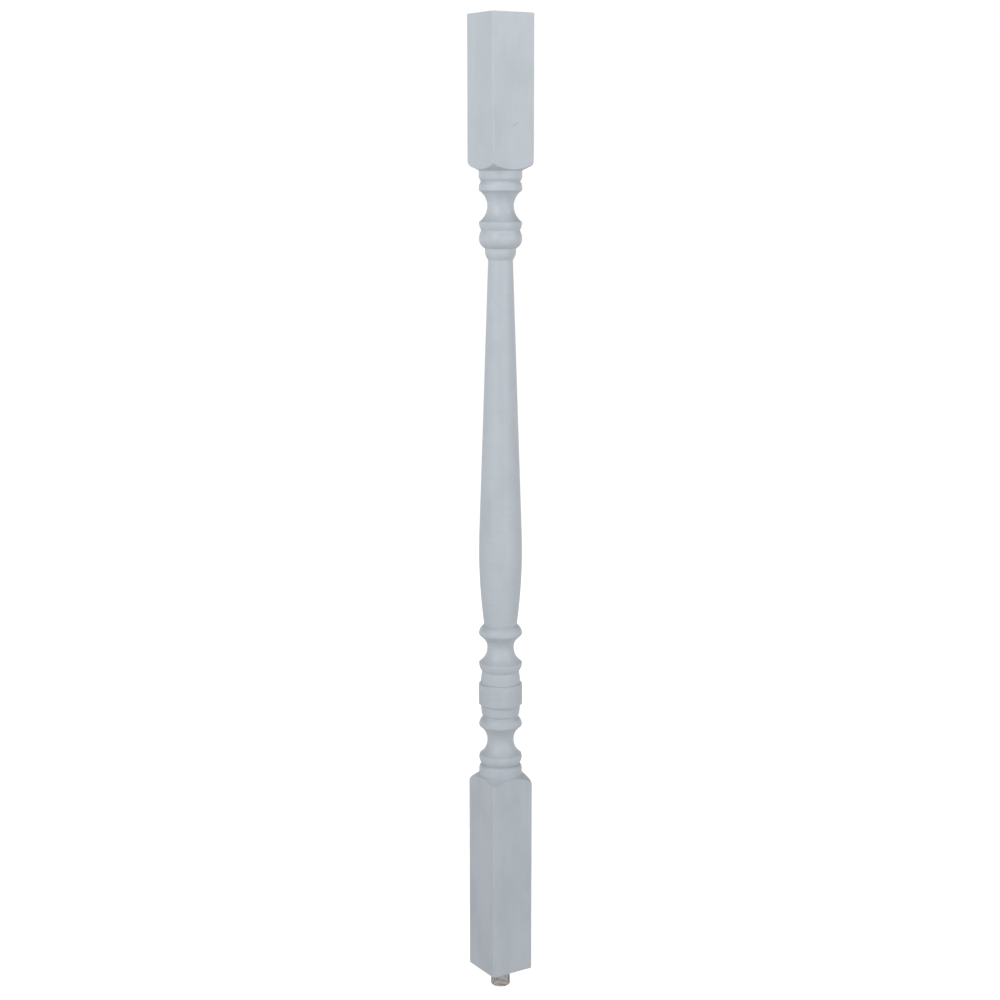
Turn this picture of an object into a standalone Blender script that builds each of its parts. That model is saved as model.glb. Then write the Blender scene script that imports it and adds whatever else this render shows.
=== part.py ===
"""Square-block stair baluster with a turned middle and a round pin, from one stick of wood.

Metres, +Z up. The origin is on the axis at the underside of the foot block, where the
baluster sits on the tread. The pin goes down from there into its hole.

The piece is made as on a lathe. A square stick is cut by an envelope that is turned round
the axis: wider than the stick's corners along the two blocks, and the profile between them.
"""
from math import acos, atan2, copysign, cos, hypot, pi, radians, sin, sqrt, tan

import bmesh
import bpy
from mathutils import Matrix

# Stick and blocks
STOCK_SIDE = 0.04445
ARRIS_RADIUS = 0.0010
BODY_LENGTH = 0.9144
TOP_BLOCK_LENGTH = 0.1397
FOOT_BLOCK_LENGTH = 0.1986

# Turned shoulders, where a block's corners are cut down to the turning
SHOULDER_EASE_RADIUS = 0.0070
TOP_SHOULDER_SLOPE = radians(65.0)
FOOT_SHOULDER_SLOPE = radians(57.0)

# Pin under the foot block
PIN_DIAMETER = 0.01905
PIN_LENGTH = 0.01905
PIN_END_EASE = 0.0012

# Neck turning, from the top block down: diameters
NECK_BEAD_DIAMETER = 0.0400
NECK_QUIRK_DIAMETER = 0.0358
NECK_WAIST_DIAMETER = 0.0245
ASTRAGAL_DIAMETER = 0.0290

# Neck turning: lengths along the axis
NECK_RING_BAND = 0.0052
NECK_RING_ROUND = 0.0046
NECK_UPPER_BEAD = 0.0054
NECK_LIP = 0.0028
NECK_COVE_UPPER = 0.0140
NECK_COVE_LOWER = 0.0146
NECK_LOWER_BEAD = 0.0077
TORUS_UPPER = 0.0078
TORUS_LOWER = 0.0086
ASTRAGAL_BAND = 0.0020
ASTRAGAL_SWEEP = 0.0086

# Shaft: a straight taper that runs into a belly above the foot turning
SHAFT_NECK_DIAMETER = 0.0231
BELLY_DIAMETER = 0.0408
SHAFT_FOOT_DIAMETER = 0.0312
BELLY_HEIGHT = 0.0710

# Foot turning, from the shaft down: diameters
FOOT_BEAD_DIAMETER = 0.0413
FOOT_QUIRK_DIAMETER = 0.0354
FOOT_WAIST_DIAMETER = 0.0253
FOOT_BAND_DIAMETER = 0.0376
FOOT_BAND_TAPER = 0.0014
FOOT_GROOVE_DIAMETER = 0.0336
COLLAR_DIAMETER = 0.0417

# Foot turning: lengths along the axis
SHAFT_BEAD = 0.0086
SHAFT_BEAD_NOSE = 0.0013
SHAFT_BEAD_BEVEL = 0.0024
SHAFT_BEAD_BEVEL_INSET = 0.0026
UPPER_COVE_TOP = 0.0100
UPPER_COVE_BOTTOM = 0.0147
UPPER_COVE_BEAD = 0.0087
UPPER_BAND = 0.0115
COLLAR_LENGTH = 0.0207
COLLAR_EASE = 0.0018
LOWER_BAND = 0.0096
GROOVE_ROUND = 0.0019
GROOVE_FLOOR = 0.0017
LOWER_COVE_HEAD = 0.0077
LOWER_COVE_LIP = 0.0013
LOWER_COVE_TOP = 0.0142
LOWER_COVE_BOTTOM = 0.0140
LOWER_COVE_NOSE = 0.0026
LOWER_COVE_BEAD = 0.0072
FOOT_FILLET_ROUND = 0.0043
FOOT_FILLET_BAND = 0.0061

# How far a bead's sharp lip or nose stands in from its full radius
LIP_INSET = 0.0005

# Facets
TURN_STEPS = 40
SMALL_ARC_STEPS = 3
TORUS_STEPS = 4
COVE_STEPS = 5
BELLY_STEPS = 8
ARRIS_STEPS = 3

# Room between the stick and the envelope where the lathe takes nothing off
CLEAR_OF_STOCK = 0.0030

# Finish of the primer and of the bare wood on the pin: linear colours and roughness
PRIMER_COLOUR = (0.48, 0.54, 0.58, 1.0)
PRIMER_ROUGHNESS = 0.45
BARE_WOOD_COLOUR = (0.30, 0.27, 0.25, 1.0)
BARE_WOOD_ROUGHNESS = 0.80
SHARP_FROM = radians(28.0)


class Turning:
    """Walks down the outer side of a turned stretch: pairs of radius and drop from its top."""

    def __init__(self, radius):
        self.points = [(radius, 0.0)]

    @property
    def length(self):
        return self.points[-1][1]

    def line_to(self, radius, drop):
        self.points.append((radius, self.length + drop))

    def swell_to(self, radius, drop, steps):
        """An arc that ends parallel to the axis, as down to a bead's peak or a cove's waist."""
        start, top = self.points[-1]
        change = radius - start
        for along, away in reversed(quarter_arc(abs(change), drop, steps)[:-1]):
            self.points.append((radius - copysign(away, change), top + drop - along))

    def fall_to(self, radius, drop, steps):
        """An arc that starts parallel to the axis, as down from a bead's peak or a cove's waist."""
        start, top = self.points[-1]
        change = radius - start
        for along, away in quarter_arc(abs(change), drop, steps)[1:]:
            self.points.append((start + copysign(away, change), top + along))

    def placed(self, top_height):
        """The same points as radius and height, with the first at top_height."""
        return [(radius, top_height - drop) for radius, drop in self.points]


def quarter_arc(depth, length, steps):
    """Points (along, away) of an arc that leaves parallel to the axis.

    It is part of a circle where the depth is less than the length, and a quarter of an
    ellipse where it is not.
    """
    if depth < length:
        bend_radius = (length * length + depth * depth) / (2.0 * depth)
        sweep = atan2(length, bend_radius - depth)
        along_radius = bend_radius
    else:
        bend_radius = depth
        sweep = pi / 2.0
        along_radius = length
    points = []
    for step in range(steps + 1):
        angle = sweep * step / steps
        points.append((along_radius * sin(angle), bend_radius * (1.0 - cos(angle))))
    return points


def neck_turning():
    """Ring, bead, cove, bead, torus and astragal under the top block."""
    bead = NECK_BEAD_DIAMETER / 2.0
    quirk = NECK_QUIRK_DIAMETER / 2.0
    turning = Turning(bead)
    turning.line_to(bead, NECK_RING_BAND)
    turning.fall_to(quirk, NECK_RING_ROUND, SMALL_ARC_STEPS)
    turning.swell_to(bead, NECK_UPPER_BEAD, SMALL_ARC_STEPS)
    turning.line_to(bead, NECK_LIP)
    turning.swell_to(NECK_WAIST_DIAMETER / 2.0, NECK_COVE_UPPER, COVE_STEPS)
    turning.fall_to(bead, NECK_COVE_LOWER, COVE_STEPS)
    turning.fall_to(quirk, NECK_LOWER_BEAD, SMALL_ARC_STEPS)
    turning.swell_to(bead, TORUS_UPPER, TORUS_STEPS)
    turning.fall_to(ASTRAGAL_DIAMETER / 2.0, TORUS_LOWER, TORUS_STEPS)
    turning.line_to(ASTRAGAL_DIAMETER / 2.0, ASTRAGAL_BAND)
    turning.fall_to(SHAFT_NECK_DIAMETER / 2.0, ASTRAGAL_SWEEP, SMALL_ARC_STEPS)
    return turning


def foot_turning():
    """Two coves between beads, with a collar between them, down to the foot block."""
    bead = FOOT_BEAD_DIAMETER / 2.0
    quirk = FOOT_QUIRK_DIAMETER / 2.0
    waist = FOOT_WAIST_DIAMETER / 2.0
    band = FOOT_BAND_DIAMETER / 2.0
    band_end = band - FOOT_BAND_TAPER / 2.0
    groove = FOOT_GROOVE_DIAMETER / 2.0
    turning = Turning(SHAFT_FOOT_DIAMETER / 2.0)
    turning.swell_to(bead, SHAFT_BEAD, TORUS_STEPS)
    nose = bead - LIP_INSET
    turning.line_to(nose, SHAFT_BEAD_NOSE)
    turning.line_to(nose - SHAFT_BEAD_BEVEL_INSET, SHAFT_BEAD_BEVEL)
    turning.swell_to(waist, UPPER_COVE_TOP, COVE_STEPS)
    turning.fall_to(bead, UPPER_COVE_BOTTOM, COVE_STEPS)
    turning.fall_to(quirk, UPPER_COVE_BEAD, SMALL_ARC_STEPS)
    turning.swell_to(band, UPPER_BAND, SMALL_ARC_STEPS)
    add_collar(turning, band)
    turning.fall_to(band_end, LOWER_BAND, SMALL_ARC_STEPS)
    turning.fall_to(groove, GROOVE_ROUND, SMALL_ARC_STEPS)
    turning.line_to(groove, GROOVE_FLOOR)
    turning.swell_to(bead, LOWER_COVE_HEAD, SMALL_ARC_STEPS)
    turning.line_to(bead - LIP_INSET, LOWER_COVE_LIP)
    turning.swell_to(waist, LOWER_COVE_TOP, COVE_STEPS)
    turning.fall_to(bead - LIP_INSET, LOWER_COVE_BOTTOM, COVE_STEPS)
    turning.line_to(bead, LOWER_COVE_NOSE)
    turning.fall_to(quirk, LOWER_COVE_BEAD, SMALL_ARC_STEPS)
    turning.swell_to(bead, FOOT_FILLET_ROUND, SMALL_ARC_STEPS)
    turning.line_to(bead, FOOT_FILLET_BAND)
    return turning


def add_collar(turning, band):
    """A plain band with eased rims that stands proud of the bands above and below it."""
    collar = COLLAR_DIAMETER / 2.0
    rim = collar - COLLAR_EASE
    turning.line_to(rim, 0.0)
    turning.swell_to(collar, COLLAR_EASE, SMALL_ARC_STEPS)
    turning.line_to(collar, COLLAR_LENGTH - COLLAR_EASE)
    turning.line_to(band, 0.0)


def shaft_points(length, top_height):
    """The shaft's belly as an arc, met by the straight taper at its tangent point."""
    neck = SHAFT_NECK_DIAMETER / 2.0
    belly = BELLY_DIAMETER / 2.0
    foot = SHAFT_FOOT_DIAMETER / 2.0
    swell = belly - foot
    bend_radius = (BELLY_HEIGHT * BELLY_HEIGHT + swell * swell) / (2.0 * swell)
    centre_radius = belly - bend_radius
    centre_drop = length - BELLY_HEIGHT
    away = hypot(centre_drop, neck - centre_radius)
    towards_neck = atan2(neck - centre_radius, -centre_drop)
    first_angle = towards_neck - acos(bend_radius / away)
    last_angle = atan2(foot - centre_radius, BELLY_HEIGHT)
    points = []
    for step in range(BELLY_STEPS):
        angle = first_angle + (last_angle - first_angle) * step / BELLY_STEPS
        drop = centre_drop + bend_radius * cos(angle)
        points.append((centre_radius + bend_radius * sin(angle), top_height - drop))
    return points


def shoulder_points(inner_radius, slope):
    """Points (radius, rise) of a block's shoulder, from the turning out to the block's corners.

    A straight slope runs outwards, and an arc brings it parallel to the axis at the corners.
    """
    corner_radius = STOCK_SIDE / sqrt(2.0)
    ease_width = SHOULDER_EASE_RADIUS * (1.0 - cos(slope))
    slope_rise = (corner_radius - inner_radius - ease_width) / tan(slope)
    points = []
    for step in range(TORUS_STEPS + 1):
        angle = slope * (1.0 - step / TORUS_STEPS)
        radius = corner_radius - SHOULDER_EASE_RADIUS * (1.0 - cos(angle))
        rise = slope_rise + SHOULDER_EASE_RADIUS * (sin(slope) - sin(angle))
        points.append((radius, rise))
    return points


def envelope_profile():
    """The whole envelope's outer side, from the axis above the top to the axis at the pin's end."""
    clear_radius = STOCK_SIDE / sqrt(2.0) + CLEAR_OF_STOCK
    neck = neck_turning()
    foot = foot_turning()
    neck_top = BODY_LENGTH - TOP_BLOCK_LENGTH
    foot_top = FOOT_BLOCK_LENGTH + foot.length
    neck_bottom = neck_top - neck.length
    pin_radius = PIN_DIAMETER / 2.0

    profile = [(0.0, BODY_LENGTH + CLEAR_OF_STOCK), (clear_radius, BODY_LENGTH + CLEAR_OF_STOCK)]
    top_shoulder = shoulder_points(NECK_BEAD_DIAMETER / 2.0, TOP_SHOULDER_SLOPE)
    profile.append((clear_radius, neck_top + top_shoulder[-1][1]))
    profile += [(radius, neck_top + rise) for radius, rise in reversed(top_shoulder)]
    profile += neck.placed(neck_top)
    profile += shaft_points(neck_bottom - foot_top, neck_bottom)
    profile += foot.placed(foot_top)
    foot_shoulder = shoulder_points(FOOT_BEAD_DIAMETER / 2.0, FOOT_SHOULDER_SLOPE)
    profile += [(radius, FOOT_BLOCK_LENGTH - rise) for radius, rise in foot_shoulder]
    profile.append((clear_radius, FOOT_BLOCK_LENGTH - foot_shoulder[-1][1]))
    profile.append((clear_radius, 0.0))

    pin = Turning(pin_radius)
    pin.line_to(pin_radius, PIN_LENGTH - PIN_END_EASE)
    pin.fall_to(pin_radius - PIN_END_EASE, PIN_END_EASE, SMALL_ARC_STEPS)
    profile += pin.placed(0.0)
    profile.append((0.0, -PIN_LENGTH))
    return profile


def new_collection(name):
    collection = bpy.data.collections.new(name)
    bpy.context.scene.collection.children.link(collection)
    return collection


def make_envelope(collection):
    """The lathe's envelope: the profile as a chain of edges, turned by a Screw modifier."""
    profile = envelope_profile()
    mesh = bpy.data.meshes.new("lathe_envelope")
    vertices = [(radius, 0.0, height) for radius, height in profile]
    edges = [(index, index + 1) for index in range(len(profile) - 1)]
    mesh.from_pydata(vertices, edges, [])
    envelope = bpy.data.objects.new("lathe_envelope", mesh)
    collection.objects.link(envelope)
    turn = envelope.modifiers.new("Turn", "SCREW")
    turn.axis = "Z"
    turn.steps = TURN_STEPS
    turn.render_steps = TURN_STEPS
    turn.use_merge_vertices = True
    turn.merge_threshold = 0.00001
    envelope.hide_render = True
    envelope.display_type = "WIRE"
    return envelope


def make_stick(collection):
    """The square stick with eased long edges, from below the pin's end to the top."""
    bottom = -PIN_LENGTH - CLEAR_OF_STOCK
    length = BODY_LENGTH - bottom
    place = Matrix.Translation((0.0, 0.0, bottom + length / 2.0))
    scale = Matrix.Diagonal((STOCK_SIDE, STOCK_SIDE, length, 1.0))
    shape = bmesh.new()
    bmesh.ops.create_cube(shape, size=1.0, matrix=place @ scale)
    long_edges = [edge for edge in shape.edges if edge.calc_length() > length - CLEAR_OF_STOCK]
    bmesh.ops.bevel(
        shape,
        geom=long_edges,
        offset=ARRIS_RADIUS,
        segments=ARRIS_STEPS,
        profile=0.5,
        affect="EDGES",
    )
    mesh = bpy.data.meshes.new("baluster")
    shape.to_mesh(mesh)
    shape.free()
    stick = bpy.data.objects.new("baluster", mesh)
    collection.objects.link(stick)
    return stick


def principled(name, colour, roughness):
    material = bpy.data.materials.new(name)
    material.use_nodes = True
    shader = material.node_tree.nodes["Principled BSDF"]
    shader.inputs["Base Color"].default_value = colour
    shader.inputs["Roughness"].default_value = roughness
    shader.inputs["Metallic"].default_value = 0.0
    return material


def turn_stick(stick, envelope):
    """Cuts the stick to the envelope and keeps the finished mesh."""
    cut = stick.modifiers.new("Turned", "BOOLEAN")
    cut.operation = "INTERSECT"
    cut.solver = "EXACT"
    cut.object = envelope
    depsgraph = bpy.context.evaluated_depsgraph_get()
    finished = bpy.data.meshes.new_from_object(stick.evaluated_get(depsgraph))
    finished.name = "baluster"
    stick.modifiers.clear()
    stick.data = finished


def finish_surface(stick):
    """Primer all over, except on the pin, which is left bare for its glue."""
    mesh = stick.data
    mesh.materials.clear()
    mesh.materials.append(principled("primer", PRIMER_COLOUR, PRIMER_ROUGHNESS))
    mesh.materials.append(principled("bare_wood", BARE_WOOD_COLOUR, BARE_WOOD_ROUGHNESS))
    for face in mesh.polygons:
        face.material_index = 1 if face.center.z < -PIN_END_EASE else 0
    mesh.shade_smooth()
    mesh.set_sharp_from_angle(angle=SHARP_FROM)


def main():
    for item in list(bpy.data.objects):
        bpy.data.objects.remove(item, do_unlink=True)
    parts = new_collection("wooden_baluster")
    cutters = new_collection("cutters")
    envelope = make_envelope(cutters)
    stick = make_stick(parts)
    turn_stick(stick, envelope)
    finish_surface(stick)


main()
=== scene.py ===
"""Looks of the primed stair baluster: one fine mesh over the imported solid, and its materials.

Metres, +Z up, in the frame's own axes. The mesh follows the solid's outline, but it is much
finer, and every lip, quirk and shoulder has the soft edge that a coat of primer leaves.
"""
from math import acos, atan2, copysign, cos, hypot, pi, radians, sin, sqrt, tan

import bpy
import numpy as np
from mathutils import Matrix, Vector, noise


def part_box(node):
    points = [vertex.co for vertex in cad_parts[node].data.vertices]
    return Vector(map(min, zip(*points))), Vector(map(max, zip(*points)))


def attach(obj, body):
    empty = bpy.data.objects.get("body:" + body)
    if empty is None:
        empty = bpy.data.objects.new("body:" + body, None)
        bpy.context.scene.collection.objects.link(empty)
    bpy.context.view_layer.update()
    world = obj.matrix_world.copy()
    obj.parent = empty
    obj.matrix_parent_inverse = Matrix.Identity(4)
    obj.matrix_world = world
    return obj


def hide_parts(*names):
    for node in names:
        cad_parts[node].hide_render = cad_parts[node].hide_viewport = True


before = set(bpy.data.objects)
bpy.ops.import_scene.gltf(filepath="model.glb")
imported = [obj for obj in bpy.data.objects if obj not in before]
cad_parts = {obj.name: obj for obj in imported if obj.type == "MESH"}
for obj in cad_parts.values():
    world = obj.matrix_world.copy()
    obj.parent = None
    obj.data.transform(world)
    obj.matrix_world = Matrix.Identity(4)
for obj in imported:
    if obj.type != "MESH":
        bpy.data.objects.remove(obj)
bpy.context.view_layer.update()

# The stick, as the solid has it
stick_low, stick_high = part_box("baluster")
STOCK_SIDE = stick_high[0] - stick_low[0]
BODY_LENGTH = stick_high[2]
PIN_LENGTH = -stick_low[2]
ARRIS_RADIUS = 0.0010
TOP_BLOCK_LENGTH = 0.1397
FOOT_BLOCK_LENGTH = 0.1986
SHOULDER_EASE_RADIUS = 0.0070
TOP_SHOULDER_SLOPE = radians(65.0)
FOOT_SHOULDER_SLOPE = radians(57.0)
PIN_DIAMETER = 0.01905
PIN_END_EASE = 0.0012

# Neck turning, from the top block down
NECK_BEAD_DIAMETER = 0.0400
NECK_QUIRK_DIAMETER = 0.0358
NECK_WAIST_DIAMETER = 0.0245
ASTRAGAL_DIAMETER = 0.0290
NECK_RING_BAND = 0.0052
NECK_RING_ROUND = 0.0046
NECK_UPPER_BEAD = 0.0054
NECK_LIP = 0.0028
NECK_COVE_UPPER = 0.0140
NECK_COVE_LOWER = 0.0146
NECK_LOWER_BEAD = 0.0077
TORUS_UPPER = 0.0078
TORUS_LOWER = 0.0086
ASTRAGAL_BAND = 0.0020
ASTRAGAL_SWEEP = 0.0086

# Shaft
SHAFT_NECK_DIAMETER = 0.0231
BELLY_DIAMETER = 0.0408
SHAFT_FOOT_DIAMETER = 0.0312
BELLY_HEIGHT = 0.0710

# Foot turning, from the shaft down
FOOT_BEAD_DIAMETER = 0.0413
FOOT_QUIRK_DIAMETER = 0.0354
FOOT_WAIST_DIAMETER = 0.0253
FOOT_BAND_DIAMETER = 0.0376
FOOT_BAND_TAPER = 0.0014
FOOT_GROOVE_DIAMETER = 0.0336
COLLAR_DIAMETER = 0.0417
SHAFT_BEAD = 0.0086
SHAFT_BEAD_NOSE = 0.0013
SHAFT_BEAD_BEVEL = 0.0024
SHAFT_BEAD_BEVEL_INSET = 0.0026
UPPER_COVE_TOP = 0.0100
UPPER_COVE_BOTTOM = 0.0147
UPPER_COVE_BEAD = 0.0087
UPPER_BAND = 0.0115
COLLAR_LENGTH = 0.0207
COLLAR_EASE = 0.0018
LOWER_BAND = 0.0096
GROOVE_ROUND = 0.0019
GROOVE_FLOOR = 0.0017
LOWER_COVE_HEAD = 0.0077
LOWER_COVE_LIP = 0.0013
LOWER_COVE_TOP = 0.0142
LOWER_COVE_BOTTOM = 0.0140
LOWER_COVE_NOSE = 0.0026
LOWER_COVE_BEAD = 0.0072
FOOT_FILLET_ROUND = 0.0043
FOOT_FILLET_BAND = 0.0061
LIP_INSET = 0.0005

# Primer: how far it softens the turned edges, and the blocks' edges
TURNED_SOFTNESS = 0.00024
SHOULDER_SOFTNESS = 0.00050
END_EASE = 0.00040

# The arris was eased by hand, so its radius wanders along the stick, differently at each
# corner. The spacing sets the corners apart in the noise.
ARRIS_WANDER = 0.20
ARRIS_WANDER_LENGTH = 0.0130
ARRIS_SPACING = 3.7

# A small gouge on the top block's -Y face, on a slant
NICK_X = 0.0014
NICK_Z = 0.8150
NICK_LENGTH = 0.0086
NICK_WIDTH = 0.0015
NICK_DEPTH = 0.00032
NICK_SLANT = radians(33.0)

# The pin's sides are as the cutter left them: slightly rippled, with torn grain and a chip.
# In the noise of each, the way round the pin is a circle, and a height counts in lengths.
RIPPLE_DEPTH = 0.00016
RIPPLE_CIRCLE = 6.0
RIPPLE_LENGTH = 0.012
TEAR_RAGGEDNESS = 0.6
TEAR_CIRCLE = 22.0
TEAR_LENGTH = 0.0012

# Each tear has degrees from the camera's side, height, half width, half height and depth
TEARS = (
    (-61.0, -0.0108, 0.00060, 0.0016, 0.00070),
    (-40.0, -0.0112, 0.00055, 0.0015, 0.00060),
    (-25.0, -0.0105, 0.00045, 0.0011, 0.00035),
    (-53.0, -0.0184, 0.00110, 0.0014, 0.00090),
    (24.0, -0.0186, 0.00070, 0.0010, 0.00045),
    (58.0, -0.0120, 0.00050, 0.0050, 0.00030),
    (130.0, -0.0140, 0.00070, 0.0022, 0.00060),
    (205.0, -0.0090, 0.00060, 0.0030, 0.00050),
)

# Fineness of the mesh
ARC_STEPS = 24
OUTLINE_STEP = 0.00005
ROW_BEND = radians(6.5)
ROW_REACH = 0.0080
ARRIS_STEPS = 8
FACE_STEPS = 24
NICK_STEP = 0.00055
NICK_CLEARANCE = 0.01
ARRIS_GUARD = 0.00025
BLOCK_ROW = 0.0030
EASE_STEPS = 4
END_FACE_INSETS = (0.0008, 0.0025)
PIN_SURROUND = (0.0012, 0.0003)
PIN_ROOT = 0.0003
PIN_ROW = 0.0007
PIN_CORE_RADIUS = 0.0063
PIN_CORE_MARGIN = 1.01

# Rows of a shoulder: distances from its start, and from the edge where it meets the faces
RING_OVERLAP = 0.0008
RING_ROWS = (0.0, 0.00030, 0.00050, 0.00065, 0.00080, 0.00095, 0.00110, 0.00130)
EDGE_ROWS = (0.0, 0.00006, 0.00013, 0.00021, 0.00031, 0.00044)
SLOPE_STEPS = 12
END_RUN = 0.0030
SHOULDER_SAMPLES = 4000
OUTLINE_RUN_ON = 0.0080

# Curvature in 1/m at which a vertex starts to count as an edge, and how much more makes it one
EDGE_FROM = 180.0
EDGE_SPAN = 700.0

# Camera, from a fit to the blocks' corners in the photograph
CAMERA_AZIMUTH = radians(-32.65)
CAMERA_DISTANCE = 1.7195
CAMERA_HEIGHT = 0.7783
CAMERA_ASIDE = -0.0005
CAMERA_DIP = radians(10.234)
CAMERA_LENS = 66.52
SENSOR_WIDTH = 36.0


class Turning:
    """Walks down the outer side of a turned stretch: pairs of radius and drop from its top."""

    def __init__(self, radius):
        self.points = [(radius, 0.0)]

    @property
    def length(self):
        return self.points[-1][1]

    def line_to(self, radius, drop):
        self.points.append((radius, self.length + drop))

    def swell_to(self, radius, drop):
        """An arc that ends parallel to the axis, as down to a bead's peak or a cove's waist."""
        start, top = self.points[-1]
        change = radius - start
        for along, away in reversed(quarter_arc(abs(change), drop)[:-1]):
            self.points.append((radius - copysign(away, change), top + drop - along))

    def fall_to(self, radius, drop):
        """An arc that starts parallel to the axis, as down from a bead's peak or a cove's waist."""
        start, top = self.points[-1]
        change = radius - start
        for along, away in quarter_arc(abs(change), drop)[1:]:
            self.points.append((start + copysign(away, change), top + along))

    def placed(self, top_height):
        """The same points as radius and height, with the first at top_height."""
        return [(radius, top_height - drop) for radius, drop in self.points]


def quarter_arc(depth, length):
    """Points (along, away) of an arc that leaves parallel to the axis.

    It is part of a circle where the depth is less than the length, and a quarter of an
    ellipse where it is not.
    """
    if depth < length:
        bend_radius = (length * length + depth * depth) / (2.0 * depth)
        sweep = atan2(length, bend_radius - depth)
        along_radius = bend_radius
    else:
        bend_radius = depth
        sweep = pi / 2.0
        along_radius = length
    points = []
    for step in range(ARC_STEPS + 1):
        angle = sweep * step / ARC_STEPS
        points.append((along_radius * sin(angle), bend_radius * (1.0 - cos(angle))))
    return points


def neck_turning():
    """Ring, bead, cove, bead, torus and astragal under the top block."""
    bead = NECK_BEAD_DIAMETER / 2.0
    quirk = NECK_QUIRK_DIAMETER / 2.0
    turning = Turning(bead)
    turning.line_to(bead, NECK_RING_BAND)
    turning.fall_to(quirk, NECK_RING_ROUND)
    turning.swell_to(bead, NECK_UPPER_BEAD)
    turning.line_to(bead, NECK_LIP)
    turning.swell_to(NECK_WAIST_DIAMETER / 2.0, NECK_COVE_UPPER)
    turning.fall_to(bead, NECK_COVE_LOWER)
    turning.fall_to(quirk, NECK_LOWER_BEAD)
    turning.swell_to(bead, TORUS_UPPER)
    turning.fall_to(ASTRAGAL_DIAMETER / 2.0, TORUS_LOWER)
    turning.line_to(ASTRAGAL_DIAMETER / 2.0, ASTRAGAL_BAND)
    turning.fall_to(SHAFT_NECK_DIAMETER / 2.0, ASTRAGAL_SWEEP)
    return turning


def foot_turning():
    """Two coves between beads, with a collar between them, down to the foot block."""
    bead = FOOT_BEAD_DIAMETER / 2.0
    quirk = FOOT_QUIRK_DIAMETER / 2.0
    waist = FOOT_WAIST_DIAMETER / 2.0
    band = FOOT_BAND_DIAMETER / 2.0
    groove = FOOT_GROOVE_DIAMETER / 2.0
    turning = Turning(SHAFT_FOOT_DIAMETER / 2.0)
    turning.swell_to(bead, SHAFT_BEAD)
    nose = bead - LIP_INSET
    turning.line_to(nose, SHAFT_BEAD_NOSE)
    turning.line_to(nose - SHAFT_BEAD_BEVEL_INSET, SHAFT_BEAD_BEVEL)
    turning.swell_to(waist, UPPER_COVE_TOP)
    turning.fall_to(bead, UPPER_COVE_BOTTOM)
    turning.fall_to(quirk, UPPER_COVE_BEAD)
    turning.swell_to(band, UPPER_BAND)
    add_collar(turning, band)
    turning.fall_to(band - FOOT_BAND_TAPER / 2.0, LOWER_BAND)
    turning.fall_to(groove, GROOVE_ROUND)
    turning.line_to(groove, GROOVE_FLOOR)
    turning.swell_to(bead, LOWER_COVE_HEAD)
    turning.line_to(bead - LIP_INSET, LOWER_COVE_LIP)
    turning.swell_to(waist, LOWER_COVE_TOP)
    turning.fall_to(bead - LIP_INSET, LOWER_COVE_BOTTOM)
    turning.line_to(bead, LOWER_COVE_NOSE)
    turning.fall_to(quirk, LOWER_COVE_BEAD)
    turning.swell_to(bead, FOOT_FILLET_ROUND)
    turning.line_to(bead, FOOT_FILLET_BAND)
    return turning


def add_collar(turning, band):
    """A plain band with eased rims that stands proud of the bands above and below it."""
    collar = COLLAR_DIAMETER / 2.0
    turning.line_to(collar - COLLAR_EASE, 0.0)
    turning.swell_to(collar, COLLAR_EASE)
    turning.line_to(collar, COLLAR_LENGTH - COLLAR_EASE)
    turning.line_to(band, 0.0)


def shaft_points(length, top_height):
    """The shaft's belly as an arc, met by the straight taper at its tangent point."""
    neck = SHAFT_NECK_DIAMETER / 2.0
    belly = BELLY_DIAMETER / 2.0
    foot = SHAFT_FOOT_DIAMETER / 2.0
    swell = belly - foot
    bend_radius = (BELLY_HEIGHT * BELLY_HEIGHT + swell * swell) / (2.0 * swell)
    centre_radius = belly - bend_radius
    centre_drop = length - BELLY_HEIGHT
    away = hypot(centre_drop, neck - centre_radius)
    towards_neck = atan2(neck - centre_radius, -centre_drop)
    first_angle = towards_neck - acos(bend_radius / away)
    last_angle = atan2(foot - centre_radius, BELLY_HEIGHT)
    steps = 2 * ARC_STEPS
    points = []
    for step in range(steps):
        angle = first_angle + (last_angle - first_angle) * step / steps
        drop = centre_drop + bend_radius * cos(angle)
        points.append((centre_radius + bend_radius * sin(angle), top_height - drop))
    return points


def shoulder_points(inner_radius, slope):
    """Points (radius, rise) of a block's shoulder, from the turning out to the block's corners.

    A straight slope runs outwards, and an arc brings it parallel to the axis at the corners.
    """
    corner_radius = STOCK_SIDE / sqrt(2.0)
    ease_width = SHOULDER_EASE_RADIUS * (1.0 - cos(slope))
    slope_rise = (corner_radius - inner_radius - ease_width) / tan(slope)
    points = []
    for step in range(ARC_STEPS + 1):
        angle = slope * (1.0 - step / ARC_STEPS)
        radius = corner_radius - SHOULDER_EASE_RADIUS * (1.0 - cos(angle))
        rise = slope_rise + SHOULDER_EASE_RADIUS * (sin(slope) - sin(angle))
        points.append((radius, rise))
    return points


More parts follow.
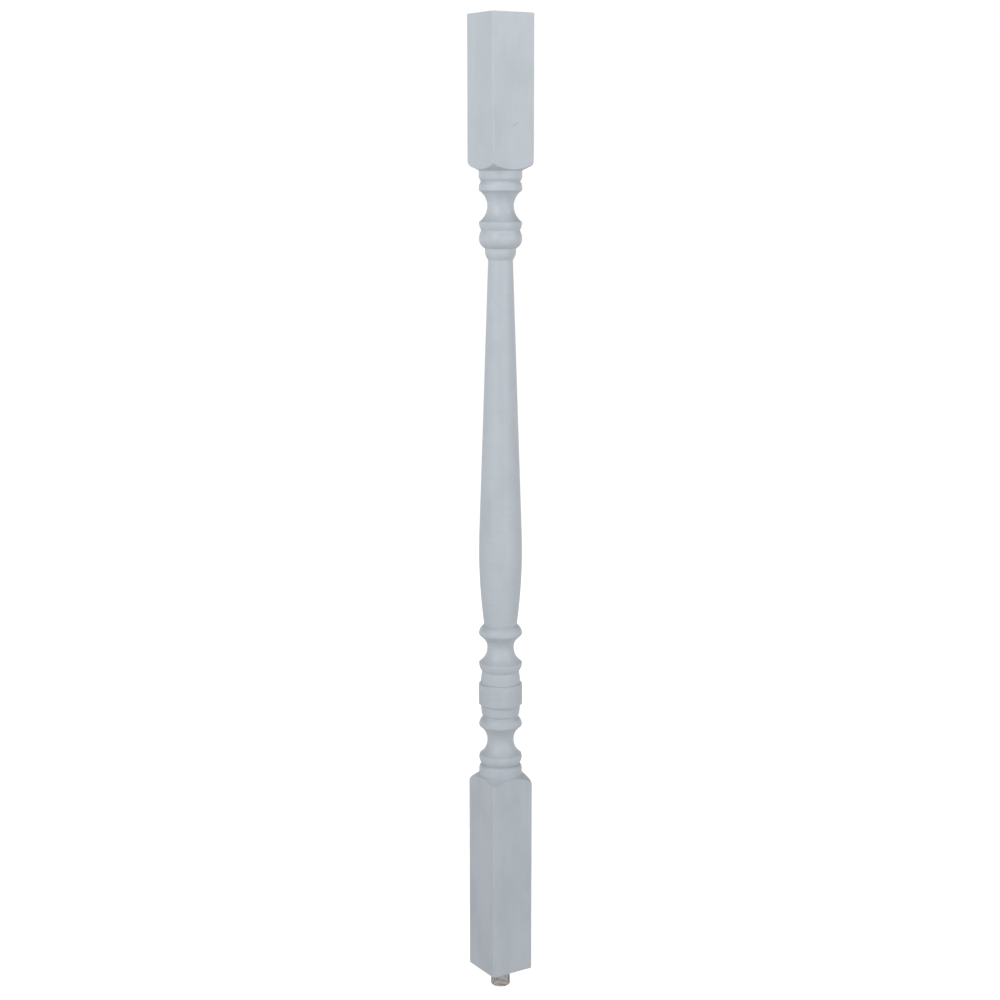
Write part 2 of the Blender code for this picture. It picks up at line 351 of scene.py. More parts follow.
class Outline:
    """The turned outline between the blocks, evenly stepped, with its edges softened."""

    def __init__(self):
        neck = neck_turning()
        foot = foot_turning()
        self.neck_top = BODY_LENGTH - TOP_BLOCK_LENGTH
        self.foot_bottom = FOOT_BLOCK_LENGTH
        foot_top = FOOT_BLOCK_LENGTH + foot.length
        neck_bottom = self.neck_top - neck.length
        top = shoulder_points(NECK_BEAD_DIAMETER / 2.0, TOP_SHOULDER_SLOPE)
        low = shoulder_points(FOOT_BEAD_DIAMETER / 2.0, FOOT_SHOULDER_SLOPE)
        points = [(top[-1][0], self.neck_top + top[-1][1] + OUTLINE_RUN_ON)]
        points += [(radius, self.neck_top + rise) for radius, rise in reversed(top)]
        points += neck.placed(self.neck_top)
        points += shaft_points(neck_bottom - foot_top, neck_bottom)
        points += foot.placed(foot_top)
        points += [(radius, self.foot_bottom - rise) for radius, rise in low]
        points.append((low[-1][0], self.foot_bottom - low[-1][1] - OUTLINE_RUN_ON))
        self.top_shoulder_end = self.neck_top + top[-1][1]
        self.foot_shoulder_end = self.foot_bottom - low[-1][1]
        self.radius, self.height = softened(*stepped(points))

    def radius_at(self, heights, from_top):
        """The outline's radius at heights on one shoulder, where it only widens outwards."""
        half = len(self.height) // 2
        if from_top:
            return np.interp(heights, self.height[:half][::-1], self.radius[:half][::-1])
        return np.interp(heights, self.height[half:][::-1], self.radius[half:][::-1])

    def turned_rows(self, top, bottom):
        """Rows down the turning: close together where it bends and far apart where it doesn't."""
        inside = (self.height < top) & (self.height > bottom)
        radius = self.radius[inside]
        height = self.height[inside]
        slope = np.unwrap(np.arctan2(np.diff(height), np.diff(radius)))
        bend = np.abs(np.diff(slope))
        need = np.cumsum(bend / ROW_BEND + OUTLINE_STEP / ROW_REACH)
        count = int(need[-1])
        picks = np.searchsorted(need, np.linspace(0.0, need[-1], count)) + 1
        return [(radius[pick], height[pick]) for pick in np.unique(np.clip(picks, 1, len(radius) - 2))]


def stepped(points):
    """The outline at even steps along its length, as radius and height."""
    points = np.array(points)
    lengths = np.hypot(*np.diff(points, axis=0).T)
    along = np.concatenate([[0.0], np.cumsum(lengths)])
    places = np.arange(0.0, along[-1], OUTLINE_STEP)
    return np.interp(places, along, points[:, 0]), np.interp(places, along, points[:, 1])


def softened(radius, height):
    """The outline blurred along its length, which rounds edges and fills quirks a little."""
    reach = int(4.0 * TURNED_SOFTNESS / OUTLINE_STEP)
    offsets = np.arange(-reach, reach + 1) * OUTLINE_STEP
    weights = np.exp(-0.5 * (offsets / TURNED_SOFTNESS) ** 2)
    weights /= weights.sum()
    blurred = []
    for values in (radius, height):
        padded = np.pad(values, reach, mode="reflect", reflect_type="odd")
        blurred.append(np.convolve(padded, weights, mode="valid"))
    return blurred


def column_angles():
    """Angles of the mesh's columns: close together on the arrises and at the nick."""
    half = STOCK_SIDE / 2.0
    flat_end = half - ARRIS_RADIUS
    guard = atan2(flat_end - ARRIS_GUARD, half)
    corner = [guard]
    for step in range(ARRIS_STEPS + 1):
        turn = pi / 2.0 * step / ARRIS_STEPS
        corner.append(atan2(flat_end + ARRIS_RADIUS * sin(turn), flat_end + ARRIS_RADIUS * cos(turn)))
    face = list(np.linspace(pi / 2.0 - guard, pi / 2.0 + guard, FACE_STEPS + 1))[:-1]
    angles = []
    for quarter in range(4):
        angles += [angle + quarter * pi / 2.0 for angle in corner + face]
    nick_reach = NICK_LENGTH / 2.0
    nick_steps = int(2.0 * nick_reach / NICK_STEP)
    nick = [
        -pi / 2.0 + atan2(NICK_X + nick_reach * (2.0 * step / nick_steps - 1.0), half)
        for step in range(nick_steps + 1)
    ]
    nick = [angle + 2.0 * pi for angle in nick]
    nick_start = nick[0] - NICK_CLEARANCE
    nick_end = nick[-1] + NICK_CLEARANCE
    kept = [angle for angle in angles if not nick_start < angle < nick_end]
    return np.array(sorted(kept + nick))


ANGLES = column_angles()
CORNERS = np.floor(ANGLES / (pi / 2.0)).astype(int) % 4


def arris_radius(height, corner):
    wander = noise.noise(Vector((ARRIS_SPACING * corner, 0.0, height / ARRIS_WANDER_LENGTH)))
    return ARRIS_RADIUS * (1.0 + ARRIS_WANDER * wander)


def stick_radius(heights):
    """Distance from the axis to the square stick's surface, for every column at its height."""
    half = STOCK_SIDE / 2.0
    arris = np.array([arris_radius(height, corner) for height, corner in zip(heights, CORNERS)])
    across = np.maximum(abs(np.cos(ANGLES)), abs(np.sin(ANGLES)))
    aside = np.minimum(abs(np.cos(ANGLES)), abs(np.sin(ANGLES)))
    flat = half / across
    centre = half - arris
    reach = centre * (across + aside)
    rounded = reach + np.sqrt(np.maximum(reach**2 - 2.0 * centre**2 + arris**2, 0.0))
    return np.where(flat * aside <= centre, flat, rounded)


def soft_minimum(first, second):
    """The smaller of two radii, blended where they cross."""
    close = np.maximum(SHOULDER_SOFTNESS - np.abs(first - second), 0.0) / SHOULDER_SOFTNESS
    return np.minimum(first, second) - close**2 * SHOULDER_SOFTNESS / 4.0


def shoulder_rows(outline, from_top):
    """Rows from the ring out over a shoulder and onto the block.

    One row follows the edge where the shoulder meets the block's faces, and others lie close
    on both sides of it, so the curved edge stays crisp on every column.
    """
    direction = 1.0 if from_top else -1.0
    ring = outline.neck_top if from_top else outline.foot_bottom
    end = outline.top_shoulder_end if from_top else outline.foot_shoulder_end
    start = ring - direction * RING_OVERLAP
    travel = np.linspace(0.0, abs(end - start) + END_RUN, SHOULDER_SAMPLES)
    widths = outline.radius_at(start + direction * travel, from_top)
    stick = stick_radius(np.full(len(ANGLES), ring))
    cut = np.interp(stick, np.maximum.accumulate(widths), travel)

    rows = []
    for near in RING_ROWS:
        rows.append(np.full(len(ANGLES), near))
    for step in range(1, SLOPE_STEPS):
        share = step / SLOPE_STEPS
        rows.append(RING_ROWS[-1] + (cut - EDGE_ROWS[-1] - RING_ROWS[-1]) * share)
    for near in reversed(EDGE_ROWS):
        rows.append(cut - near)
    for near in EDGE_ROWS[1:]:
        rows.append(cut + near)
    for step in range(1, SLOPE_STEPS + 1):
        share = step / SLOPE_STEPS
        rows.append(cut + EDGE_ROWS[-1] + (travel[-1] - cut - EDGE_ROWS[-1]) * share)

    shaped = []
    for row in rows:
        heights = start + direction * row
        widths = outline.radius_at(heights, from_top)
        shaped.append((soft_minimum(widths, stick_radius(heights)), heights))
    return shaped


def level_row(radius, height):
    """A round row at one height."""
    return (np.full(len(ANGLES), radius), np.full(len(ANGLES), height))


def block_rows(top, bottom):
    """Rows down a block's sides, closer together at the nick."""
    count = int((top - bottom) / BLOCK_ROW)
    heights = list(np.linspace(top, bottom, count + 1)[1:-1])
    nick_reach = NICK_LENGTH / 2.0
    if bottom < NICK_Z < top:
        steps = int(2.0 * nick_reach / NICK_STEP)
        nick = list(np.linspace(NICK_Z - nick_reach, NICK_Z + nick_reach, steps + 1))
        heights = [height for height in heights if not nick[0] < height < nick[-1]] + nick
    rows = []
    for height in sorted(heights, reverse=True):
        level = np.full(len(ANGLES), height)
        rows.append((stick_radius(level), level))
    return rows


def end_rows(height, inward):
    """Rows from a block's side round its eased end edge, from the side to the end's face."""
    level = np.full(len(ANGLES), height)
    side = stick_radius(level)
    half = STOCK_SIDE / 2.0
    rows = []
    for step in range(EASE_STEPS + 1):
        turn = pi / 2.0 * step / EASE_STEPS
        inset = END_EASE * (1.0 - cos(turn))
        drop = END_EASE * (1.0 - sin(turn))
        rows.append((side * (1.0 - inset / half), level + inward * drop))
    for inset in END_FACE_INSETS:
        rows.append((side * (1.0 - inset / half), level))
    return rows


def tear_share(place, tear):
    """How far a place on the pin, as azimuth and height, lies in a tear, from 0 to 1."""
    degrees, tear_height, half_width, half_height = tear[:4]
    tear_azimuth = CAMERA_AZIMUTH - pi / 2.0 + radians(degrees)
    turn = (place[0] - tear_azimuth + pi) % (2.0 * pi) - pi
    aside = turn * PIN_DIAMETER / 2.0 / half_width
    above = (place[1] - tear_height) / half_height
    return np.exp(-(aside**2) - above**4)


def torn_pin(radius, height):
    """The pin's radius at a height, with its ripples and tears."""
    radii = np.full(len(ANGLES), radius)
    for column, angle in enumerate(ANGLES):
        ripple = noise_round_pin(angle, height, RIPPLE_CIRCLE, RIPPLE_LENGTH)
        ragged = noise_round_pin(angle, height, TEAR_CIRCLE, TEAR_LENGTH)
        radii[column] -= RIPPLE_DEPTH * (1.0 + ripple)
        for tear in TEARS:
            depth = tear[-1] * (1.0 + TEAR_RAGGEDNESS * ragged)
            radii[column] -= depth * tear_share((angle, height), tear)
    return radii, np.full(len(ANGLES), height)


def noise_round_pin(angle, height, circle, length):
    return noise.noise(Vector((circle * cos(angle), circle * sin(angle), height / length)))


def pin_rows():
    """Rows from under the foot block down the pin's side and round its eased end."""
    radius = PIN_DIAMETER / 2.0
    rows = [level_row(radius + beside, 0.0) for beside in PIN_SURROUND]
    count = int((PIN_LENGTH - PIN_END_EASE) / PIN_ROW)
    for height in np.linspace(-PIN_ROOT, -(PIN_LENGTH - PIN_END_EASE), count):
        rows.append(torn_pin(radius, height))
    for step in range(1, EASE_STEPS + 1):
        turn = pi / 2.0 * step / EASE_STEPS
        inset = PIN_END_EASE * (1.0 - cos(turn))
        drop = PIN_LENGTH - PIN_END_EASE * (1.0 - sin(turn))
        rows.append(torn_pin(radius - inset, -drop))
    rows.append(level_row(PIN_CORE_RADIUS, -PIN_LENGTH))
    return rows


def nick_share(x, y, z):
    """How deep places lie in the nick on the top block's -Y face, from 0 to 1."""
    aside = x - NICK_X
    rise = z - NICK_Z
    along = (aside * cos(NICK_SLANT) + rise * sin(NICK_SLANT)) / (NICK_LENGTH / 2.0)
    across = (rise * cos(NICK_SLANT) - aside * sin(NICK_SLANT)) / (NICK_WIDTH / 2.0)
    shape = np.maximum(1.0 - along**2, 0.0) * np.exp(-(across**2))
    return np.where(y < -STOCK_SIDE / 2.0 + 2.0 * NICK_DEPTH, shape, 0.0)


def baluster_rows():
    """All rows of the mesh, from the edge of the top end to the pin's end."""
    outline = Outline()
    top_shoulder = shoulder_rows(outline, from_top=True)
    foot_shoulder = shoulder_rows(outline, from_top=False)
    top_end = end_rows(BODY_LENGTH, inward=-1.0)
    foot_end = end_rows(0.0, inward=1.0)
    block_bottom = float(top_shoulder[-1][1][0])
    block_top = float(foot_shoulder[-1][1][0])
    rows = list(reversed(top_end))
    rows += block_rows(BODY_LENGTH - END_EASE, block_bottom)
    rows += list(reversed(top_shoulder))
    turned = outline.turned_rows(outline.neck_top - RING_OVERLAP, outline.foot_bottom + RING_OVERLAP)
    rows += [level_row(radius, height) for radius, height in turned]
    rows += foot_shoulder
    rows += block_rows(block_top, END_EASE)
    rows += foot_end
    rows += pin_rows()
    return rows


def make_baluster():
    """The whole stick as one closed mesh: rows of quads between a fan of triangles at each end."""
    rows = baluster_rows()
    columns = len(ANGLES)
    radius = np.array([row[0] for row in rows])
    z = np.array([row[1] for row in rows])
    x = radius * np.cos(ANGLES)
    y = radius * np.sin(ANGLES)
    y += NICK_DEPTH * nick_share(x, y, z)
    vertices = np.stack([x, y, z], axis=2).reshape(-1, 3).tolist()
    top_centre = len(vertices)
    vertices.append((0.0, 0.0, BODY_LENGTH))
    vertices.append((0.0, 0.0, -PIN_LENGTH))
    faces = []
    for column in range(columns):
        following = (column + 1) % columns
        faces.append((top_centre, column, following))
        for row in range(len(rows) - 1):
            upper = row * columns
            lower = upper + columns
            faces.append((upper + column, lower + column, lower + following, upper + following))
        last = (len(rows) - 1) * columns
        faces.append((top_centre + 1, last + following, last + column))
    mesh = bpy.data.meshes.new("baluster_wood")
    mesh.from_pydata(vertices, [], faces)
    mesh.validate()
    mesh.shade_smooth()
    mark_edges(mesh, len(rows), columns)
    piece = bpy.data.objects.new("baluster_wood", mesh)
    bpy.context.scene.collection.objects.link(piece)
    return piece


def mark_edges(mesh, row_count, columns):
    """Stores how far each vertex is an edge, a quirk, torn or in the nick, for wear, dust, a painted
    highlight on the edges and painted shade in the hollows.
    """
    place = np.zeros(len(mesh.vertices) * 3)
    normal = np.zeros(len(mesh.vertices) * 3)
    mesh.vertices.foreach_get("co", place)
    mesh.vertices.foreach_get("normal", normal)
    place = place.reshape(-1, 3)[:-2].reshape(row_count, columns, 3)
    normal = normal.reshape(-1, 3)[:-2].reshape(row_count, columns, 3)
    bends = []
    for axis in (0, 1):
        ahead = np.roll(place, -1, axis) - np.roll(place, 1, axis)
        turn = np.roll(normal, -1, axis) - np.roll(normal, 1, axis)
        bends.append((ahead * turn).sum(2) / np.maximum((ahead**2).sum(2), 1e-12))
    bends = np.array(bends)
    bends[0, 0] = 0.0
    bends[0, -1] = 0.0
    convex = np.clip((bends.max(0) - EDGE_FROM) / EDGE_SPAN, 0.0, 1.0)
    hollow = np.clip((-bends.min(0) - EDGE_FROM) / EDGE_SPAN, 0.0, 1.0)
    azimuth = np.arctan2(place[:, :, 1], place[:, :, 0])
    torn = sum(tear_share((azimuth, place[:, :, 2]), tear) for tear in TEARS)
    from_axis = np.hypot(place[:, :, 0], place[:, :, 1])
    outside_core = from_axis > PIN_CORE_MARGIN * PIN_CORE_RADIUS
    torn = np.clip(torn * outside_core * (place[:, :, 2] < -END_EASE), 0.0, 1.0)
    nick = nick_share(place[:, :, 0], place[:, :, 1], place[:, :, 2])
    for name, values in (("edge", convex), ("quirk", hollow), ("torn", torn), ("nick", nick)):
        layer = mesh.attributes.new(name, "FLOAT", "POINT")
        layer.data.foreach_set("value", np.append(values.ravel(), [0.0, 0.0]))


# Materials

PRIMER_LIGHT = (0.506, 0.552, 0.596, 1.0)
PRIMER_DARK = (0.452, 0.496, 0.541, 1.0)
# Lighter primer on the edges: partly rubbed wear, partly a painted highlight along the arrises
PRIMER_RUBBED_AND_HIGHLIGHT = (0.520, 0.564, 0.606, 1.0)
# Darker primer in the quirks and the nick: partly dust, partly painted shade in the hollows
PRIMER_DUST_AND_SHADE = (0.345, 0.375, 0.405, 1.0)
WOOD_LIGHT = (0.560, 0.515, 0.475, 1.0)
WOOD_DARK = (0.220, 0.190, 0.172, 1.0)
# Near black in the tears' pits: painted shade
WOOD_PIT_SHADE = (0.045, 0.038, 0.034, 1.0)

# Noises of the finish: how the coordinates stretch, then scale, detail and roughness
BROAD_GRAIN = ((1.0, 1.0, 0.03), 420.0, 4.0, 0.6)
FINE_GRAIN = ((1.0, 1.0, 0.045), 2100.0, 3.0, 0.6)
TOOL_RINGS = ((0.02, 0.02, 1.0), 1500.0, 3.0, 0.6)
PRIMER_PEEL = ((1.0, 1.0, 1.0), 900.0, 2.0, 0.5)
PRIMER_MOTTLE = ((1.0, 1.0, 0.45), 34.0, 4.0, 0.6)
PRIMER_SPECKS = ((1.0, 1.0, 1.0), 420.0, 3.0, 0.65)
RING_WAVER = ((1.0, 1.0, 0.4), 90.0, 2.0, 0.5)
WOOD_FIBRES = ((1.0, 1.0, 0.09), 2600.0, 4.0, 0.65)
WOOD_BLOTCHES = ((1.0, 1.0, 0.7), 330.0, 3.0, 0.6)
OVERSPRAY = ((1.0, 1.0, 0.5), 260.0, 4.0, 0.65)

# Curves of the finish: a value's low and high, then what it gives there if not 0 and 1
MOTTLE_TONE = (0.32, 0.60, 0.15, 1.0)
GHOST_TONE = (0.46, 0.68, 0.0, 0.45)
SPECK_TONE = (0.60, 0.74, 0.0, 0.35)
SCUFF_AND_HIGHLIGHT_SPREAD = (0.42, 0.66)
QUIRK_DUST_AND_SHADE = (0.25, 0.75, 0.05, 0.25)
NICK_DUST_AND_SHADE = (0.15, 0.75, 0.0, 0.45)
PRIMER_ROUGHNESS = (0.30, 0.70, 0.36, 0.44)
LATE_WOOD = (-0.4, 0.98)
LATE_WOOD_TONE = (0.34, 0.62, 0.25, 0.85)
FIBRE_TONE = (0.42, 0.72, 0.0, 0.55)
TORN_PIT_SHADE = (0.25, 0.70)
WOOD_ROUGHNESS = (0.3, 0.7, 0.72, 0.88)
BARE_TEARS = (0.55, 0.20)

# Heights between which long grain gives way to tool rings, at the top block and at the foot
TOP_GRAIN_END = (0.788, 0.779)
FOOT_GRAIN_END = (0.186, 0.194)

# Heights at the foot block's underside: where the primer ends, and where its mist thins out
PRIMER_END = (-0.0004, -0.0001)
OVERSPRAY_END = (-0.0095, 0.0025, 0.0, 0.72)
OVERSPRAY_SPREAD = 0.012

# Strengths of the finish
FINE_GRAIN_SHARE = 0.45
PEEL_SHARE = 0.35
SCUFF_AND_HIGHLIGHT_TONE = 0.30
SCUFF_POLISH = 0.5
SCUFF_ROUGHNESS = 0.33
QUIRK_ROUGHNESS = 0.62
PIT_SHADE_TONE = 0.95
RING_RELIEF_SHARE = 0.35
PRIMER_RELIEF = 0.00020
WOOD_RELIEF = 0.00016

# The pin's grain: the rings' centre, how they arch, how far apart they are and how they waver
PITH_PLACE = (0.0165, 0.0250, 0.0030)
GRAIN_ARCH = 1.15
RING_SPACING = 0.0023
RING_WAVER_REACH = 0.0036


def add_node(tree, kind, inputs, **settings):
    """Adds a shader node, sets its properties, and links or fills its inputs."""
    made = tree.nodes.new(kind)
    for name, value in settings.items():
        setattr(made, name, value)
    for name, value in inputs.items():
        if isinstance(value, bpy.types.NodeSocket):
            tree.links.new(value, made.inputs[name])
        else:
            made.inputs[name].default_value = value
    return made


def stored(tree, name):
    """A value that mark_edges stored on the mesh."""
    return add_node(tree, "ShaderNodeAttribute", {}, attribute_name=name).outputs["Fac"]


def stretched_noise(tree, place, stretch, scale, detail, roughness):
    """Noise over coordinates that are first multiplied by stretch."""
    moved = add_node(tree, "ShaderNodeMapping", {"Vector": place, "Scale": stretch})
    made = add_node(
        tree,
        "ShaderNodeTexNoise",
        {"Vector": moved.outputs[0], "Scale": scale, "Detail": detail, "Roughness": roughness},
    )
    return made.outputs["Factor" if "Factor" in made.outputs else "Fac"]


def ranged(tree, value, low, high, to_low=0.0, to_high=1.0):
    """A value's range mapped smoothly onto another."""
    made = add_node(
        tree,
        "ShaderNodeMapRange",
        {"Value": value, "From Min": low, "From Max": high, "To Min": to_low, "To Max": to_high},
        interpolation_type="SMOOTHSTEP",
    )
    return made.outputs["Result"]


def calculated(tree, operation, first, second):
    return add_node(tree, "ShaderNodeMath", {0: first, 1: second}, operation=operation).outputs[0]


def blended(tree, factor, first, second):
    """Colour blend from first to second."""
    made = add_node(
        tree, "ShaderNodeMix", {0: factor, 6: first, 7: second}, data_type="RGBA", clamp_factor=True
    )
    return made.outputs[2]


def mixed(tree, factor, first, second):
    """Number blend from first to second."""
    made = add_node(tree, "ShaderNodeMix", {0: factor, 2: first, 3: second}, data_type="FLOAT")
    return made.outputs[0]


def primer_finish(tree, place, height_above):
    """Colour, roughness and relief of satin primer over planed blocks and sanded turnings."""
    edge = stored(tree, "edge")
    quirk = stored(tree, "quirk")
    nick = stored(tree, "nick")
    broad_grain = stretched_noise(tree, place, *BROAD_GRAIN)
    fine_grain = stretched_noise(tree, place, *FINE_GRAIN)
    grain = mixed(tree, FINE_GRAIN_SHARE, broad_grain, fine_grain)
    rings = stretched_noise(tree, place, *TOOL_RINGS)
    peel = stretched_noise(tree, place, *PRIMER_PEEL)
    mottle = stretched_noise(tree, place, *PRIMER_MOTTLE)
    speck = stretched_noise(tree, place, *PRIMER_SPECKS)

    below_top = ranged(tree, height_above, *TOP_GRAIN_END)
    above_foot = ranged(tree, height_above, *FOOT_GRAIN_END)
    on_turning = calculated(tree, "MULTIPLY", below_top, above_foot)
    tooling = mixed(tree, on_turning, grain, rings)
    relief = mixed(tree, PEEL_SHARE, tooling, peel)

    colour = blended(tree, ranged(tree, mottle, *MOTTLE_TONE), PRIMER_DARK, PRIMER_LIGHT)
    colour = blended(tree, ranged(tree, tooling, *GHOST_TONE), colour, PRIMER_DARK)
    colour = blended(tree, ranged(tree, speck, *SPECK_TONE), colour, PRIMER_LIGHT)
    # Convex edges turn lighter in spots: partly rubbed wear, partly a painted highlight along the
    # arrises
    scuffs_and_highlight = calculated(tree, "MULTIPLY", edge, ranged(tree, speck, *SCUFF_AND_HIGHLIGHT_SPREAD))
    colour = blended(tree, calculated(tree, "MULTIPLY", scuffs_and_highlight, SCUFF_AND_HIGHLIGHT_TONE), colour, PRIMER_RUBBED_AND_HIGHLIGHT)
    # Quirks and the nick turn darker: partly dust, partly painted shade in these hollows
    dust_and_shade = calculated(tree, "MULTIPLY", quirk, ranged(tree, mottle, *QUIRK_DUST_AND_SHADE))
    dust_and_shade = calculated(tree, "MAXIMUM", dust_and_shade, ranged(tree, nick, *NICK_DUST_AND_SHADE))
    colour = blended(tree, dust_and_shade, colour, PRIMER_DUST_AND_SHADE)

    roughness = ranged(tree, mottle, *PRIMER_ROUGHNESS)
    polish = calculated(tree, "MULTIPLY", scuffs_and_highlight, SCUFF_POLISH)
    roughness = mixed(tree, polish, roughness, SCUFF_ROUGHNESS)
    roughness = mixed(tree, quirk, roughness, QUIRK_ROUGHNESS)
    return colour, roughness, relief


def wood_finish(tree, place, torn):
    """Colour, roughness and relief of the pin's bare wood: growth rings, fibres, and torn pits
    darkened with painted shade.
    """
    pith = add_node(tree, "ShaderNodeVectorMath", {0: place, 1: PITH_PLACE}, operation="SUBTRACT")
    arch = (1.0, 1.0, GRAIN_ARCH)
    arched = add_node(
        tree, "ShaderNodeVectorMath", {0: pith.outputs[0], 1: arch}, operation="MULTIPLY"
    )
    from_pith = add_node(tree, "ShaderNodeVectorMath", {0: arched.outputs[0]}, operation="LENGTH")
    waver = calculated(
        tree, "MULTIPLY", stretched_noise(tree, place, *RING_WAVER), RING_WAVER_REACH
    )
    distance = calculated(tree, "ADD", from_pith.outputs["Value"], waver)
    phase = calculated(tree, "MULTIPLY", distance, 2.0 * pi / RING_SPACING)
    wave = calculated(tree, "SINE", phase, 0.0)
    fibres = stretched_noise(tree, place, *WOOD_FIBRES)
    blotch = stretched_noise(tree, place, *WOOD_BLOTCHES)

    late = calculated(
        tree, "MULTIPLY", ranged(tree, wave, *LATE_WOOD), ranged(tree, blotch, *LATE_WOOD_TONE)
    )
    colour = blended(tree, late, WOOD_LIGHT, WOOD_DARK)
    colour = blended(tree, ranged(tree, fibres, *FIBRE_TONE), colour, WOOD_DARK)
    # The tears' pits turn near black: painted shade in the hollows
    pit_shade = calculated(tree, "MULTIPLY", ranged(tree, torn, *TORN_PIT_SHADE), PIT_SHADE_TONE)
    colour = blended(tree, pit_shade, colour, WOOD_PIT_SHADE)
    early = calculated(tree, "SUBTRACT", 1.0, late)
    relief = mixed(tree, RING_RELIEF_SHARE, fibres, early)
    return colour, ranged(tree, fibres, *WOOD_ROUGHNESS), relief


def baluster_material():
    """Primer over the stick, and bare wood on the pin under a mist of overspray."""
    material = bpy.data.materials.new("primed_wood")
    material.use_nodes = True
    tree = material.node_tree
    shader = tree.nodes["Principled BSDF"]
    place = add_node(tree, "ShaderNodeTexCoord", {}).outputs["Object"]
    height_above = add_node(tree, "ShaderNodeSeparateXYZ", {"Vector": place}).outputs["Z"]
    torn = stored(tree, "torn")
    primer_colour, primer_roughness, primer_relief = primer_finish(tree, place, height_above)
    wood_colour, wood_roughness, wood_relief = wood_finish(tree, place, torn)

    mist = stretched_noise(tree, place, *OVERSPRAY)
    spread = calculated(tree, "MULTIPLY", mist, OVERSPRAY_SPREAD)
    sprayed = calculated(tree, "ADD", height_above, spread)
    coverage = ranged(tree, sprayed, *OVERSPRAY_END)
    on_block = ranged(tree, height_above, *PRIMER_END)
    coverage = calculated(tree, "MULTIPLY", coverage, ranged(tree, torn, *BARE_TEARS))
    coated = calculated(tree, "MAXIMUM", coverage, on_block)

    colour = blended(tree, coated, wood_colour, primer_colour)
    roughness = mixed(tree, coated, wood_roughness, primer_roughness)
    fine = add_node(
        tree,
        "ShaderNodeBump",
        {"Height": primer_relief, "Distance": PRIMER_RELIEF, "Strength": on_block},
    )
    coarse = add_node(
        tree,
        "ShaderNodeBump",
        {
            "Height": wood_relief,
            "Distance": WOOD_RELIEF,
            "Strength": calculated(tree, "SUBTRACT", 1.0, on_block),
            "Normal": fine.outputs[0],
        },
    )
    tree.links.new(colour, shader.inputs["Base Color"])
    tree.links.new(roughness, shader.inputs["Roughness"])
    tree.links.new(coarse.outputs[0], shader.inputs["Normal"])
    shader.inputs["IOR"].default_value = 1.5
    return material


def dress_baluster():
    piece = make_baluster()
    piece.data.materials.append(baluster_material())
    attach(piece, "root")
    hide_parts("baluster")


# Stage

WHITE = (1.0, 1.0, 1.0, 1.0)
FLOOR_RADIUS = 40.0
FLOOR_SIDES = 96
FLOOR_GAP = 0.0002
FLOOR_COLOUR = (0.25, 0.25, 0.25, 1.0)
FLOOR_GLOW = 1.0
WALL_LIGHT = 1.02
WALL_TOP = (sin(radians(20.0)), sin(radians(5.3)))
ROOM_LIGHT = 0.10
GROUND_LIGHT = 0.57
GROUND_TOP = (sin(radians(-14.0)), sin(radians(-5.0)))


def make_floor():
    """A plain pale floor at the pin's end, lit like a light table.

    Only the camera sees it. The light that comes up from the ground is the world's.
    """
    bpy.ops.mesh.primitive_circle_add(
        vertices=FLOOR_SIDES,
        radius=FLOOR_RADIUS,
        fill_type="NGON",
        location=(0.0, 0.0, -PIN_LENGTH - FLOOR_GAP),
    )
    floor = bpy.context.object
    floor.name = "floor"
    material = bpy.data.materials.new("pale_floor")
    material.use_nodes = True
    shader = material.node_tree.nodes["Principled BSDF"]
    shader.inputs["Base Color"].default_value = FLOOR_COLOUR
    shader.inputs["Roughness"].default_value = 0.9
    shader.inputs["Specular IOR Level"].default_value = 0.1
    shader.inputs["Emission Color"].default_value = WHITE
    shader.inputs["Emission Strength"].default_value = FLOOR_GLOW
    floor.data.materials.append(material)
    floor.visible_diffuse = False
    floor.visible_glossy = False
    floor.visible_shadow = False


def make_sky():
    """A plain room by elevation: pale ground, white low walls and a dim ceiling."""
    world = bpy.data.worlds.new("studio")
    bpy.context.scene.world = world
    world.use_nodes = True
    tree = world.node_tree
    direction = add_node(tree, "ShaderNodeTexCoord", {}).outputs["Generated"]
    rise = add_node(tree, "ShaderNodeSeparateXYZ", {"Vector": direction}).outputs["Z"]
    low = mixed(tree, ranged(tree, rise, *GROUND_TOP), GROUND_LIGHT, WALL_LIGHT)
    strength = mixed(tree, ranged(tree, rise, *WALL_TOP), ROOM_LIGHT, low)
    tree.links.new(strength, tree.nodes["Background"].inputs["Strength"])
    tree.nodes["Background"].inputs["Color"].default_value = WHITE


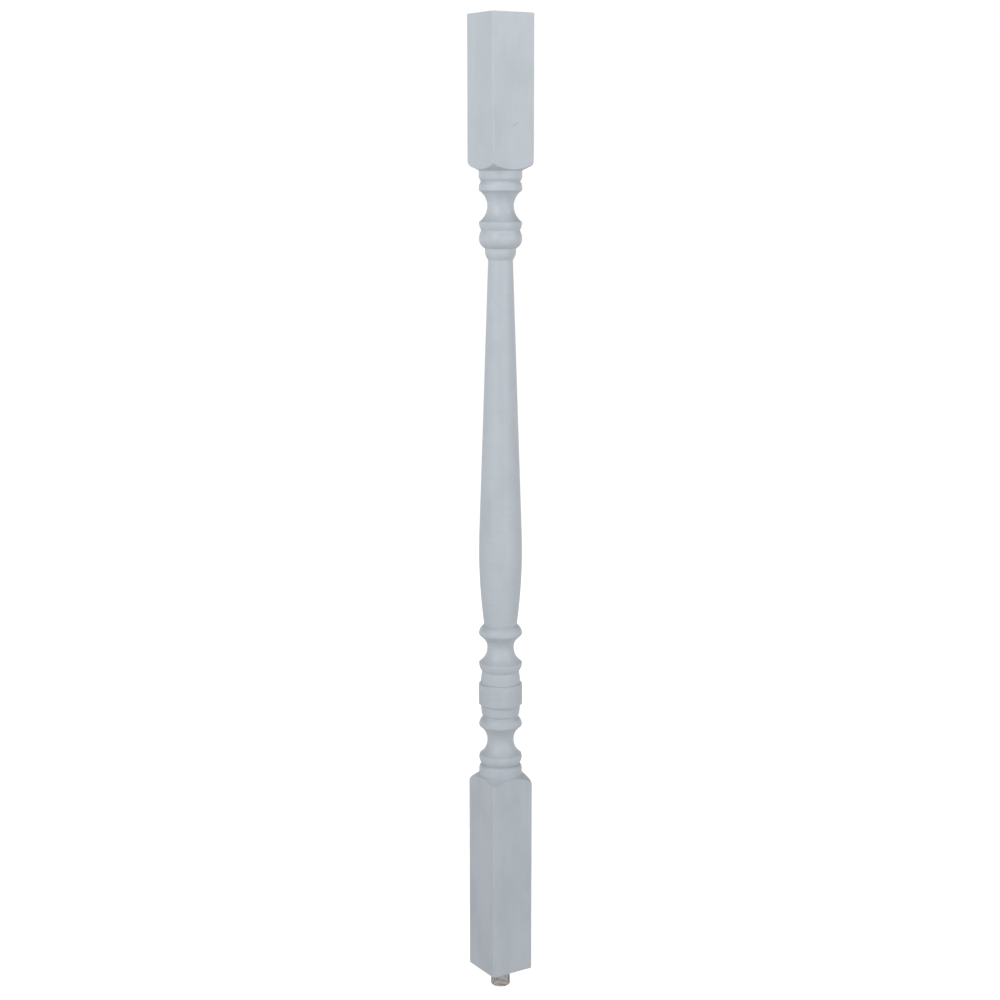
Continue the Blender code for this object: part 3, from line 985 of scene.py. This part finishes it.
# Softboxes: degrees to the camera's right, distance, low and high edges, width, watts, and
# the height they face
SOFTBOXES = {
    "left_low": (-36.0, 1.5, 0.0, 0.9, 0.20, 1.2, 0.45),
    "left_high": (-36.0, 1.6, 1.1, 2.1, 0.60, 12.9, 1.2),
    "left_side": (-75.0, 1.8, 1.2, 2.2, 0.80, 3.8, 1.1),
    "right_low": (36.0, 1.5, 0.0, 0.9, 0.20, 2.7, 0.45),
    "right_side": (70.0, 1.8, 1.0, 2.0, 0.80, 9.2, 0.8),
    "front_top": (0.0, 1.3, 2.0, 2.7, 0.90, 4.2, 0.7),
    "back": (180.0, 2.0, 0.5, 1.8, 0.60, 10.0, 0.6),
}


def make_lights():
    for name, (aside, distance, low, high, width, watts, facing) in SOFTBOXES.items():
        data = bpy.data.lights.new(name, "AREA")
        data.shape = "RECTANGLE"
        data.size = width
        data.size_y = high - low
        data.energy = watts
        light = bpy.data.objects.new(name, data)
        azimuth = CAMERA_AZIMUTH + radians(aside)
        height = (low + high) / 2.0
        light.location = (sin(azimuth) * distance, -cos(azimuth) * distance, height)
        light.rotation_euler = (pi / 2.0 - atan2(height - facing, distance), 0.0, azimuth)
        light.visible_camera = False
        bpy.context.scene.collection.objects.link(light)


def make_camera():
    data = bpy.data.cameras.new("camera")
    data.lens = CAMERA_LENS
    data.sensor_width = SENSOR_WIDTH
    camera = bpy.data.objects.new("camera", data)
    camera.location = (
        sin(CAMERA_AZIMUTH) * CAMERA_DISTANCE + cos(CAMERA_AZIMUTH) * CAMERA_ASIDE,
        -cos(CAMERA_AZIMUTH) * CAMERA_DISTANCE + sin(CAMERA_AZIMUTH) * CAMERA_ASIDE,
        CAMERA_HEIGHT,
    )
    camera.rotation_euler = (pi / 2.0 - CAMERA_DIP, 0.0, CAMERA_AZIMUTH)
    bpy.context.scene.collection.objects.link(camera)
    bpy.context.scene.camera = camera


dress_baluster()
make_floor()
make_sky()
make_lights()
make_camera()
bpy.context.scene.view_settings.view_transform = "Standard"
